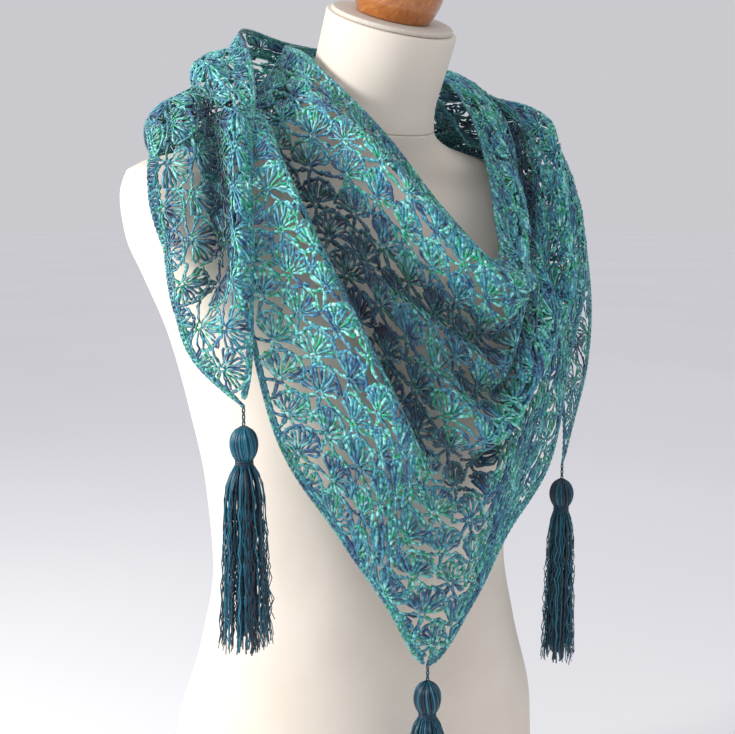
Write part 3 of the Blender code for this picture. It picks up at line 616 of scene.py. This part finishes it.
def edge_path(cloth, side, inset):
    """Points every few millimetres along an edge: the long one, or one of the two lower ones."""
    if side == 0:
        along = cloth.along
        level = np.full(GRID_ALONG, inset)
    else:
        half = GRID_ALONG // 2
        along = cloth.along[half:] if side > 0 else cloth.along[:half + 1]
        level = cloth.low_edge(along) - inset
    spots = cloth.lookup(along, np.maximum(level, 0))[0]
    run = np.concatenate([[0.0], np.cumsum(np.linalg.norm(np.diff(spots, axis=0), axis=-1))])
    return along, level, run


def lay_borders(cloth, pieces):
    """A band of short stitches between two chains, round the whole shawl."""
    for side, inset in ((0, TOP_BORDER), (1, LOW_BORDER), (-1, LOW_BORDER)):
        along, level, run = edge_path(cloth, side, inset * 0.5)
        # Two chains, each a pair of strands that weave about each other
        pitch = 0.0026
        loops = int(run[-1] / (4 * pitch))
        marks = (np.arange(loops)[:, None] * 4 + np.arange(5)[None, :]) * pitch
        for depth in (0.08, 0.92):
            for hand in (1, -1):
                sway = hand * 0.0007 * np.array([0, 1, 0, -1, 0])
                lift = np.broadcast_to(hand * 0.0005 * np.array([1, 0, -1, 0, 1]), marks.shape)
                a = np.interp(marks, run, along)
                if side == 0:
                    d = inset * depth + sway + 0 * marks
                else:
                    d = cloth.low_edge(a) - inset * depth + sway
                spot, outward = cloth.spot(a, d, lift, low_edge=False)
                tint = uneven((loops, 1), 5 + side) * 0.5 + 0.5
                # Painted shade and light for the chains, from the folds and the strands' lift
                light = cloth.light(a, d, lift)
                add_by_place(pieces, a[:, 2], spot, outward, np.stack([marks, d, tint + 0 * marks, light], axis=-1))
        # The short stitches across the band, further apart along the long edge
        pitch = 0.0052 if side == 0 else 0.0036
        posts = int(run[-1] / pitch)
        marks = np.repeat((np.arange(posts) * pitch)[:, None], 4, axis=1)
        for hand in (1, -1):
            t = np.array([0.0, 0.33, 0.67, 1.0])
            a = np.interp(marks + hand * np.array([0.0003, 0.0011, 0.0004, 0.0012]), run, along)
            d = inset * (0.08 + 0.84 * t)[None, :] + 0 * marks
            if side != 0:
                d = cloth.low_edge(a) - d
            lift = np.broadcast_to(hand * np.array([0.0003, 0.0006, -0.0002, 0.0004]), marks.shape)
            spot, outward = cloth.spot(a, d, lift, low_edge=False)
            tint = uneven((posts, 1), 15 + side + hand) * 0.5 + 0.5
            # Painted shade and light for the short stitches, from the folds and the strands' lift
            light = cloth.light(a, d, lift)
            add_by_place(pieces, a[:, 1], spot, outward, np.stack([marks, d, tint + 0 * marks, light], axis=-1))


def add_by_place(pieces, middle, spot, outward, pattern):
    for name, _, low, high, heavy in LACE_PIECES:
        chosen = (middle >= low) & (middle < high)
        if chosen.any():
            pieces[name].add(spot[chosen], outward[chosen], pattern[chosen], YARN_RADIUS * heavy)


# --- the tassels --------------------------------------------------------------------------------------------


def lathe(name, profile, points, place, finish, turns=None):
    """A closed turned solid from its profile of (radius, height), both ends closed."""
    bm = bmesh.new()
    angles = [2 * math.pi * i / points for i in range(points)]
    rows = [[bm.verts.new(place @ Vector((r * math.cos(a), r * math.sin(a), h))) for a in angles] for r, h in profile]
    for above, below in zip(rows, rows[1:]):
        for i in range(points):
            bm.faces.new((above[i], below[i], below[(i + 1) % points], above[(i + 1) % points]))
    bm.faces.new(rows[0])
    bm.faces.new(rows[-1][::-1])
    bmesh.ops.recalc_face_normals(bm, faces=bm.faces)
    mesh = bpy.data.meshes.new(name)
    bm.to_mesh(mesh)
    bm.free()
    mesh.shade_smooth()
    mesh.materials.append(finish)
    made = bpy.data.objects.new(name, mesh)
    bpy.context.scene.collection.objects.link(made)
    return made


def build_tassel(name, node, top, spread, seed, finish):
    """Fine strands, a wound head over a core, and a looped stem."""
    stem = TASSEL_PROFILE[0][1]
    origin = np.array(top) - (0, 0, stem)
    random = np.random.default_rng(seed)
    yarn = Yarn()

    # The skirt
    strands, steps = 150, 16
    t = np.linspace(0, 1, steps)
    angle = random.uniform(0, 2 * math.pi, strands)
    share = np.sqrt(random.uniform(0, 1, strands))
    start = 0.0062 * share
    finish_reach = spread * (0.25 + 0.75 * share) + random.uniform(-0.0015, 0.0015, strands)
    long = TASSEL_LONG * (1 - 0.16 * random.uniform(0, 1, strands) ** 1.6)
    reach = start[:, None] + (finish_reach - start)[:, None] * (0.55 * np.minimum(t[None] / 0.16, 1) ** 0.6 + 0.45 * t[None])
    turn = angle[:, None] + 0.3 * random.uniform(-1, 1, strands)[:, None] * t[None]
    crimp = random.uniform(0.0006, 0.0016, strands)[:, None] * np.minimum(t[None] * 2.5, 1)
    beat = random.uniform(32, 58, strands)[:, None] * t[None]
    x = reach * np.cos(turn) + crimp * np.sin(beat + random.uniform(0, 6.3, strands)[:, None])
    y = reach * np.sin(turn) + crimp * np.sin(beat * 0.9 + random.uniform(0, 6.3, strands)[:, None])
    z = 0.004 - (long[:, None] + 0.004) * t[None]
    paths = np.stack([x, y, z], axis=-1) + origin
    out = np.stack([np.cos(turn), np.sin(turn), 0 * turn], axis=-1)
    tint = np.broadcast_to(random.uniform(0, 1, strands)[:, None], x.shape)
    pattern = np.stack([angle[:, None] * 0.01 + 0 * x, z, tint, 0 * z + 0.5], axis=-1)
    yarn.add(paths, out, pattern, radius=0.00062)

    # Strands over the head's ball, down into the wrap
    heights = [row[1] for row in TASSEL_PROFILE][::-1]
    radii = [row[0] for row in TASSEL_PROFILE][::-1]
    strands, steps = 44, 10
    z = np.linspace(0.0312, 0.0068, steps)
    bulge = np.interp(z, heights, radii)
    bulge = (np.roll(bulge, 1) + 2 * bulge + np.roll(bulge, -1)) / 4
    bulge[0], bulge[-1] = 0.0014, 0.0058
    t = np.linspace(0, 1, steps)
    angle = (np.arange(strands) + 0.3 * random.uniform(-1, 1, strands)) * 2 * math.pi / strands
    turn = angle[:, None] + 0.12 * np.sin(t[None] * 3 + angle[:, None])
    r = bulge[None] + 0.0003 + 0.0004 * random.uniform(0, 1, strands)[:, None]
    paths = np.stack([r * np.cos(turn), r * np.sin(turn), np.broadcast_to(z, r.shape)], axis=-1) + origin
    out = np.stack([np.cos(turn), np.sin(turn), 0 * turn], axis=-1)
    tint = np.broadcast_to(random.uniform(0, 1, strands)[:, None], r.shape)
    yarn.add(paths, out, np.stack([angle[:, None] + 0 * r, 0 * r + z, tint, 0 * r], axis=-1), radius=0.00088)

    # The wrap's turns under the head, and the twisted stem over it
    turns = np.linspace(0, 6 * 2 * math.pi, 120)
    z = np.linspace(-0.0004, 0.0074, 120)
    for first in range(0, 119, 17):
        part = slice(first, min(first + 18, 120))
        r = 0.0066
        ring = np.stack([r * np.cos(turns[part]), r * np.sin(turns[part]), z[part]], axis=-1)[None]
        out = ring * (1, 1, 0)
        yarn.add(ring + origin, out, np.stack([turns[part] * 0.01, z[part], 0 * z[part] + 0.4, 0 * z[part]], axis=-1)[None],
                 radius=0.00075)
    for hand in (0.0, math.pi):
        z = np.linspace(0.0290, stem + 0.0012, 14)
        turn = hand + np.linspace(0, 3.2 * math.pi, 14)
        r = 0.0009
        path = np.stack([r * np.cos(turn), r * np.sin(turn), z], axis=-1)[None]
        yarn.add(path + origin, path * (1, 1, 0), np.stack([turn * 0.01, z, 0 * z + 0.6, 0 * z], axis=-1)[None], radius=0.0009)
    made = yarn.finish(name, finish)

    core = [(max(r - 0.0004, 0.0004), h) for r, h in TASSEL_PROFILE if h < 0.030]
    core = [(0.0008, 0.0306)] + core
    inner = lathe(name + "_core", core, 28, Matrix.Translation(Vector(origin)), finish)
    for piece in (made, inner):
        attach(piece, "root")
    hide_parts(node)


# --- the dress form -----------------------------------------------------------------------------------------


def soft_ring(level, low, high, rounding):
    """A fine ring of the form, drawn in a little where a part's edge is rounded."""
    ring = form_ring(level, FINE_POINTS)
    short = max(rounding - (level - low), rounding - (high - level), 0.0)
    short = min(short, rounding)
    tuck = rounding - math.sqrt(max(rounding**2 - short**2, 0.0))
    middle = ring.mean(axis=0)
    flat = ring[:, :2] - middle[:2]
    ring[:, :2] = middle[:2] + flat * (1 - tuck / np.linalg.norm(flat, axis=1))[:, None]
    return ring


def fine_loft(name, low, high, rounding, finish):
    near = rounding * np.array([0.0, 0.1, 0.3, 0.6, 1.0])
    inner = np.arange(low + rounding * 1.6, high - rounding * 1.6, FINE_STEP)
    levels = np.concatenate([low + near, inner, (high - near)[::-1]])
    rings = [soft_ring(float(level), low, high, rounding) for level in levels]
    count = len(rings)
    verts = np.concatenate(rings)
    index = np.arange(count * FINE_POINTS).reshape(count, FINE_POINTS)
    here, after = index[:-1], index[1:]
    quads = np.stack([here, np.roll(here, -1, axis=1), np.roll(after, -1, axis=1), after], axis=-1).reshape(-1, 4)
    mesh = quad_mesh(name, verts, quads)
    bm = bmesh.new()
    bm.from_mesh(mesh)
    bm.verts.ensure_lookup_table()
    bm.faces.new([bm.verts[i] for i in index[0][::-1]])
    bm.faces.new([bm.verts[i] for i in index[-1]])
    bmesh.ops.recalc_face_normals(bm, faces=bm.faces)
    bm.to_mesh(mesh)
    bm.free()
    mesh.materials.append(finish)
    made = bpy.data.objects.new(name, mesh)
    bpy.context.scene.collection.objects.link(made)
    return made


def build_form(cover, rim, wood):
    half_gap = 0.00015
    torso = fine_loft("cover_torso", 0.0, NECK_SEAM - half_gap, SEAM_ROUND, cover)
    neck = fine_loft("cover_neck", NECK_SEAM + half_gap, NECK_TOP, SEAM_ROUND, cover)
    middle = float(form_value("middle", NECK_TOP))
    tilt = math.atan(float(lean(NECK_TOP)))
    seat = Vector((0.0, middle, NECK_TOP + float(lean(NECK_TOP)) * middle))
    place = Matrix.Translation(seat) @ Matrix.Rotation(tilt, 4, "X")
    thick = CAP_THICKNESS
    edge = [(CAP_RADIUS - 0.0012 + 0.0012 * math.cos(a), thick - 0.0012 + 0.0012 * math.sin(a))
            for a in np.linspace(math.pi / 2, 0, 6)]
    edge += [(CAP_RADIUS, 0.0004), (CAP_RADIUS - 0.0003, 0.0002)]
    cap = lathe("neck_cap", [(0.002, thick), (0.030, thick)] + edge + [(0.030, 0.0002), (0.002, 0.0002)],
                96, place, rim)
    radii = [row[0] for row in KNOB_PROFILE[:-1]]
    heights = [row[1] for row in KNOB_PROFILE[:-1]]
    knots = np.arange(len(radii))
    fine = np.linspace(0, len(radii) - 1, 60)
    profile = list(zip(curve_through(knots, radii, fine), curve_through(knots, heights, fine) + thick + 0.0006))
    profile[0] = (0.0004, profile[0][1])
    knob = lathe("turned_knob", profile, 96, place, wood)
    for piece, node, slot in ((torso, "form_torso", "cream_cover"), (neck, "form_neck", "cream_cover"),
                              (cap, "form_neck_cap", "cream_cover"), (knob, "form_knob", "varnished_wood")):
        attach(piece, "root")
        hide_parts(node)


# --- materials ----------------------------------------------------------------------------------------------


class Nodes:
    """Builds one material's nodes with short calls."""

    def __init__(self, name):
        self.material = bpy.data.materials.new(name)
        self.material.use_nodes = True
        self.tree = self.material.node_tree
        self.shader = self.tree.nodes["Principled BSDF"]

    def new(self, kind, **settings):
        node = self.tree.nodes.new(kind)
        for key, value in settings.items():
            setattr(node, key, value)
        return node

    def link(self, start, end):
        self.tree.links.new(start, end)

    def put(self, socket, value):
        if isinstance(value, bpy.types.NodeSocket):
            self.link(value, socket)
        else:
            socket.default_value = value

    def noise(self, vector, scale, detail=2.0, rough=0.5, distortion=0.0):
        node = self.new("ShaderNodeTexNoise")
        self.put(node.inputs["Vector"], vector)
        node.inputs["Scale"].default_value = scale
        node.inputs["Detail"].default_value = detail
        node.inputs["Roughness"].default_value = rough
        node.inputs["Distortion"].default_value = distortion
        return node.outputs["Fac"]

    def ramp(self, value, stops, smooth=True):
        node = self.new("ShaderNodeValToRGB")
        self.link(value, node.inputs["Fac"])
        ramp = node.color_ramp
        ramp.interpolation = "EASE" if smooth else "LINEAR"
        while len(ramp.elements) < len(stops):
            ramp.elements.new(0.5)
        for element, (place, colour) in zip(ramp.elements, stops):
            element.position = place
            element.color = (*colour, 1.0)
        return node.outputs["Color"]

    def mix(self, kind, share, a, b):
        node = self.new("ShaderNodeMix", data_type="RGBA", blend_type=kind)
        self.put(node.inputs["Factor"], share)
        self.put(node.inputs["A"], a)
        self.put(node.inputs["B"], b)
        return node.outputs["Result"]

    def math(self, kind, a, b=0.0):
        node = self.new("ShaderNodeMath", operation=kind)
        self.put(node.inputs[0], a)
        self.put(node.inputs[1], b)
        return node.outputs[0]

    def mapping(self, vector, scale):
        node = self.new("ShaderNodeMapping")
        self.link(vector, node.inputs["Vector"])
        node.inputs["Scale"].default_value = scale
        return node.outputs["Vector"]

    def bump(self, height, strength, distance):
        node = self.new("ShaderNodeBump")
        node.inputs["Strength"].default_value = strength
        node.inputs["Distance"].default_value = distance
        self.link(height, node.inputs["Height"])
        self.link(node.outputs["Normal"], self.shader.inputs["Normal"])

    def set(self, **values):
        for name, value in values.items():
            self.shader.inputs[name.replace("_", " ")].default_value = value


def colour(hex_code):
    """Scene-linear colour from a usual screen colour."""
    parts = [int(hex_code[i:i + 2], 16) / 255 for i in (0, 2, 4)]
    return tuple(p / 12.92 if p <= 0.04045 else ((p + 0.055) / 1.055) ** 2.4 for p in parts)


def yarn_material():
    """Hand-dyed yarn: runs of navy, steel blue, teal, jade and mint along the rows, the palest mint partly painted
    highlight, with a satin gloss, painted shade and light over the folds and strands, and painted glints along the
    plies.
    """
    n = Nodes("variegated_yarn")
    place = n.new("ShaderNodeUVMap", uv_map="pattern").outputs["UV"]
    stored = n.new("ShaderNodeAttribute", attribute_name="strand").outputs["Color"]
    split = n.new("ShaderNodeSeparateColor")
    n.link(stored, split.inputs["Color"])
    strand, light = split.outputs["Red"], split.outputs["Green"]
    runs = n.noise(n.mapping(place, (1.0, 1.9, 1.0)), 26.0, detail=2.5, rough=0.65, distortion=0.6)
    short = n.noise(place, 130.0, detail=1.0)
    shifted = n.math("ADD", runs, n.math("MULTIPLY", n.math("SUBTRACT", strand, 0.5), 0.22))
    shifted = n.math("ADD", shifted, n.math("MULTIPLY", n.math("SUBTRACT", short, 0.5), 0.35))
    # The two palest stops, 7FD0CC and BDEBE4, are partly the yarn's own mint and partly painted highlight
    base = n.ramp(shifted, (
        (0.22, colour("0C3352")), (0.33, colour("1F5A84")), (0.42, colour("4A97AC")), (0.49, colour("187C8A")),
        (0.56, colour("7FD0CC")), (0.63, colour("0A9A66")), (0.70, colour("3A9FA6")), (0.80, colour("BDEBE4")),
    ))
    # Painted glints: a fine noise along the plies lightens and darkens the yarn in small flecks; the same noise drives
    # the bump
    painted_glint_and_bump_noise = n.noise(place, 420.0, detail=2.0)
    shade = n.ramp(painted_glint_and_bump_noise, ((0.30, (0.5, 0.5, 0.56)), (0.70, (1.3, 1.3, 1.26))))
    base = n.mix("MULTIPLY", 0.85, base, shade)
    # Painted shade and light: the stored value darkens yarn in troughs and under other strands and lightens it on
    # ridges and lifted strands
    painted_shade_and_light = n.ramp(light, ((0.08, (0.12, 0.16, 0.24)), (0.45, (0.70, 0.75, 0.80)), (0.82, (1.34, 1.34, 1.32))))
    base = n.mix("MULTIPLY", 1.0, base, painted_shade_and_light)
    n.link(base, n.shader.inputs["Base Color"])
    n.set(Roughness=0.32, Sheen_Weight=0.3, Sheen_Roughness=0.4, Specular_IOR_Level=0.6)
    n.bump(painted_glint_and_bump_noise, 0.6, 0.0004)
    return n.material


def tassel_material():
    n = Nodes("tassel_yarn")
    place = n.new("ShaderNodeUVMap", uv_map="pattern").outputs["UV"]
    stored = n.new("ShaderNodeAttribute", attribute_name="strand").outputs["Color"]
    split = n.new("ShaderNodeSeparateColor")
    n.link(stored, split.inputs["Color"])
    strand = split.outputs["Red"]
    fleck = n.noise(place, 260.0, detail=2.0)
    mixed = n.math("ADD", n.math("MULTIPLY", strand, 0.6), n.math("MULTIPLY", fleck, 0.4))
    base = n.ramp(mixed, ((0.15, colour("031828")), (0.45, colour("06344B")), (0.75, colour("107088"))))
    n.link(base, n.shader.inputs["Base Color"])
    n.set(Roughness=0.38, Sheen_Weight=0.06, Sheen_Roughness=0.4, Specular_IOR_Level=0.6)
    n.bump(fleck, 0.4, 0.0003)
    return n.material


def cover_material():
    """A smooth cream jersey, drawn tight."""
    n = Nodes("cream_jersey")
    place = n.new("ShaderNodeTexCoord").outputs["Object"]
    mottle = n.noise(place, 9.0, detail=3.0)
    grain = n.noise(n.mapping(place, (1.0, 1.0, 0.6)), 1400.0, detail=1.0)
    base = n.ramp(mottle, ((0.25, colour("E7DBCB")), (0.75, colour("F1E7DA"))))
    base = n.mix("MULTIPLY", 0.25, base, n.ramp(grain, ((0.3, (0.86, 0.86, 0.86)), (0.7, (1.0, 1.0, 1.0)))))
    n.link(base, n.shader.inputs["Base Color"])
    n.set(Roughness=0.72, Sheen_Weight=0.15, Sheen_Roughness=0.5)
    n.bump(grain, 0.12, 0.0003)
    return n.material


def rim_material():
    n = Nodes("neck_cap_cover")
    place = n.new("ShaderNodeTexCoord").outputs["Object"]
    grain = n.noise(place, 900.0, detail=2.0)
    base = n.ramp(grain, ((0.3, colour("CFC8BC")), (0.7, colour("DDD6CA"))))
    n.link(base, n.shader.inputs["Base Color"])
    n.set(Roughness=0.6)
    n.bump(grain, 0.1, 0.0003)
    return n.material


def wood_material():
    n = Nodes("varnished_wood")
    place = n.new("ShaderNodeTexCoord").outputs["Object"]
    grain = n.noise(n.mapping(place, (60.0, 14.0, 60.0)), 3.0, detail=5.0, rough=0.6, distortion=1.2)
    fine = n.noise(n.mapping(place, (500.0, 60.0, 500.0)), 1.0, detail=3.0)
    base = n.ramp(grain, ((0.25, colour("8E4A16")), (0.5, colour("B56A28")), (0.75, colour("C98940"))))
    base = n.mix("MULTIPLY", 0.35, base, n.ramp(fine, ((0.3, (0.7, 0.62, 0.55)), (0.7, (1.0, 1.0, 1.0)))))
    n.link(base, n.shader.inputs["Base Color"])
    n.set(Roughness=0.35, Coat_Weight=0.8, Coat_Roughness=0.08)
    n.bump(fine, 0.05, 0.0003)
    return n.material


# --- the stage ----------------------------------------------------------------------------------------------


def build_stage():
    n = Nodes("studio_floor")
    place = n.new("ShaderNodeTexCoord").outputs["Object"]
    mottle = n.noise(place, 0.8, detail=2.0)
    base = n.ramp(mottle, ((0.3, (0.90, 0.90, 0.92)), (0.7, (0.93, 0.93, 0.95))))
    n.link(base, n.shader.inputs["Base Color"])
    n.set(Roughness=0.9, Emission_Color=(0.865, 0.865, 0.91, 1.0), Emission_Strength=0.055)
    bm = bmesh.new()
    bmesh.ops.create_circle(bm, cap_ends=True, radius=30.0, segments=96)
    mesh = bpy.data.meshes.new("floor")
    bm.to_mesh(mesh)
    bm.free()
    mesh.materials.append(n.material)
    floor = bpy.data.objects.new("floor", mesh)
    floor.location.z = -0.0005
    bpy.context.scene.collection.objects.link(floor)

    world = bpy.data.worlds.new("studio")
    bpy.context.scene.world = world
    bpy.context.scene.view_settings.view_transform = "Standard"
    world.use_nodes = True
    sky = world.node_tree.nodes["Background"]
    sky.inputs["Color"].default_value = (0.865, 0.865, 0.91, 1.0)
    sky.inputs["Strength"].default_value = 0.68

    aim = Vector((0.0, 0.0, 0.5))
    for name, azimuth, height, away, size, power, tone in (
        ("key", -104.0, 1.05, 1.5, 0.6, 24.0, (1.0, 0.985, 0.96)),
        ("front", -45.0, 2.1, 2.0, 0.9, 6.0, (0.97, 0.98, 1.0)),
    ):
        light = bpy.data.lights.new(name, "AREA")
        light.shape = "SQUARE"
        light.size = size
        light.energy = power
        light.color = tone
        lamp = bpy.data.objects.new(name, light)
        a = math.radians(azimuth)
        lamp.location = (math.sin(a) * away, -math.cos(a) * away, height)
        lamp.rotation_euler = (lamp.location - aim).to_track_quat("Z", "Y").to_euler()
        bpy.context.scene.collection.objects.link(lamp)


def build_camera():
    a, e = math.radians(CAMERA_AZIMUTH), math.radians(CAMERA_ELEVATION)
    back = Vector((math.sin(a) * math.cos(e), -math.cos(a) * math.cos(e), math.sin(e)))
    data = bpy.data.cameras.new("camera")
    data.sensor_width = 36.0
    data.lens = 36.0 * CAMERA_FOCAL_PX / FRAME_PX
    data.clip_start = 0.01
    data.shift_x = (FRAME_PX / 2 - CAMERA_CENTRE_PX) / FRAME_PX
    camera = bpy.data.objects.new("camera", data)
    camera.location = Vector(CAMERA_AIM) + back * CAMERA_DISTANCE
    camera.rotation_euler = back.to_track_quat("Z", "Y").to_euler()
    bpy.context.scene.collection.objects.link(camera)
    bpy.context.scene.camera = camera


def build_shawl(finish):
    cloth = Cloth()
    pieces = {row[0]: Yarn() for row in LACE_PIECES}
    lay_rows(cloth, pieces)
    lay_borders(cloth, pieces)
    for name, node, low, high, _ in LACE_PIECES:
        made = pieces[name].finish(name, finish)
        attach(made, "root")
        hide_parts(node)


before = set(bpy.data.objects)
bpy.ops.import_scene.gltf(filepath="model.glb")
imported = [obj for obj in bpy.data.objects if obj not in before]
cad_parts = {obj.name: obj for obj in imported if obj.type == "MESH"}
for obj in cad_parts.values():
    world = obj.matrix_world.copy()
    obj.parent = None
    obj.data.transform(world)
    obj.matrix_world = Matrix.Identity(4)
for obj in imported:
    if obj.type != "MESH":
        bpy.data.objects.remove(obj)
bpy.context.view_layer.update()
build_camera()
build_form(cover_material(), rim_material(), wood_material())
build_shawl(yarn_material())
tassel_yarn = tassel_material()
for number, (name, top, spread) in enumerate(TASSELS):
    build_tassel(name + "_yarn", name, top, spread, 31 + number, tassel_yarn)
build_stage()
